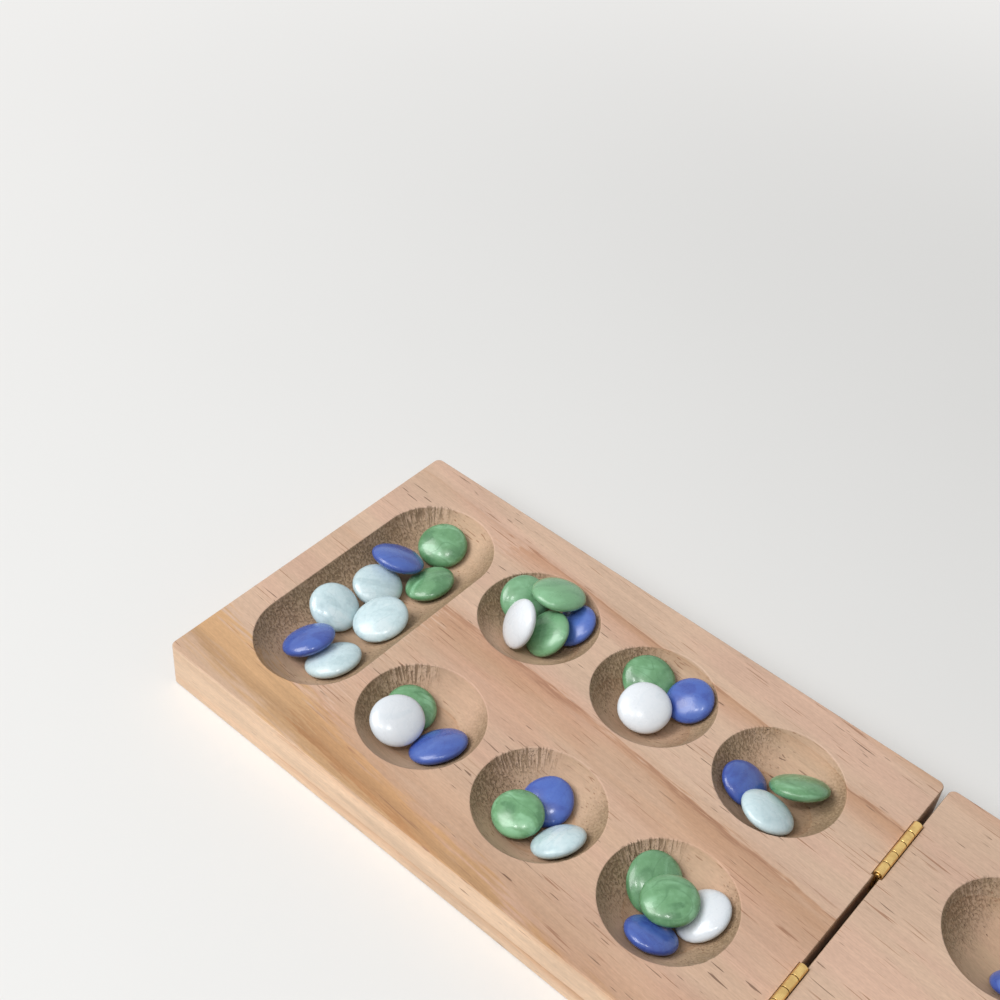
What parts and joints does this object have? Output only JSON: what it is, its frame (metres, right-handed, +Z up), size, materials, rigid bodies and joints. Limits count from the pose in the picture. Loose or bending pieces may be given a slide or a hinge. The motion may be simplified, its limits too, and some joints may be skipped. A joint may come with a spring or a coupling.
{
  "type": "folding mancala board",
  "caption": "Wooden game board that folds in half on brass hinges, with rows of round pits, a long store at each end, and glass stones lying in them.",
  "frame": {"origin": "middle of the underside of the open board, on the seam line", "axes": "+X along the board towards the right store, +Y across it towards the far row of pits, +Z up"},
  "size_m": [0.443, 0.133, 0.0254],
  "materials": {
    "pine_wood": "sanded pine, clear satin",
    "hinge_brass": "plain pressed brass",
    "green_glass": "opaque, glossy, swirled",
    "blue_glass": "opaque, glossy",
    "pale_glass": "opaque, glossy, milky",
    "white_glass": "opaque, glossy, milky"
  },
  "bodies": {
    "left_board": {"left_half": "pine_wood", "near_hinge_left_leaf": "hinge_brass", "far_hinge_left_leaf": "hinge_brass", "stone_left_store_1": "pale_glass", "stone_left_store_2": "pale_glass", "stone_left_store_3": "green_glass", "stone_left_store_4": "pale_glass", "stone_left_store_5": "green_glass", "stone_left_store_6": "pale_glass", "stone_left_store_7": "blue_glass", "stone_left_store_8": "blue_glass", "stone_left_far_1_1": "blue_glass", "stone_left_far_1_2": "green_glass", "stone_left_far_1_3": "green_glass", "stone_left_far_1_4": "white_glass", "stone_left_far_1_5": "green_glass", "stone_left_far_2_1": "green_glass", "stone_left_far_2_2": "blue_glass", "stone_left_far_2_3": "white_glass", "stone_left_far_3_1": "blue_glass", "stone_left_far_3_2": "pale_glass", "stone_left_far_3_3": "green_glass", "stone_left_near_1_1": "green_glass", "stone_left_near_1_2": "blue_glass", "stone_left_near_1_3": "white_glass", "stone_left_near_2_1": "blue_glass", "stone_left_near_2_2": "pale_glass", "stone_left_near_2_3": "green_glass", "stone_left_near_3_1": "green_glass", "stone_left_near_3_2": "white_glass", "stone_left_near_3_3": "blue_glass", "stone_left_near_3_4": "green_glass", "near_hinge_pin": "hinge_brass", "far_hinge_pin": "hinge_brass"},
    "right_board": {"right_half": "pine_wood", "near_hinge_right_leaf": "hinge_brass", "far_hinge_right_leaf": "hinge_brass", "stone_right_store_1": "green_glass", "stone_right_store_2": "pale_glass", "stone_right_store_3": "blue_glass", "stone_right_store_4": "white_glass", "stone_right_store_5": "green_glass", "stone_right_store_6": "blue_glass", "stone_right_store_7": "pale_glass", "stone_right_store_8": "green_glass", "stone_right_far_2_1": "green_glass", "stone_right_far_2_2": "white_glass", "stone_right_far_3_1": "green_glass", "stone_right_far_3_2": "blue_glass", "stone_right_near_1_1": "white_glass", "stone_right_near_1_2": "green_glass", "stone_right_near_2_1": "pale_glass", "stone_right_near_2_2": "blue_glass", "stone_right_near_3_1": "blue_glass", "stone_right_near_3_2": "pale_glass", "stone_right_near_3_3": "green_glass"}
  },
  "joints": [
    {"name": "fold", "type": "hinge", "parent": "left_board", "child": "right_board", "pos_m": [0, 0, 0.01815], "axis": [0, -1, 0], "range_deg": [0, 180]}
  ]
}
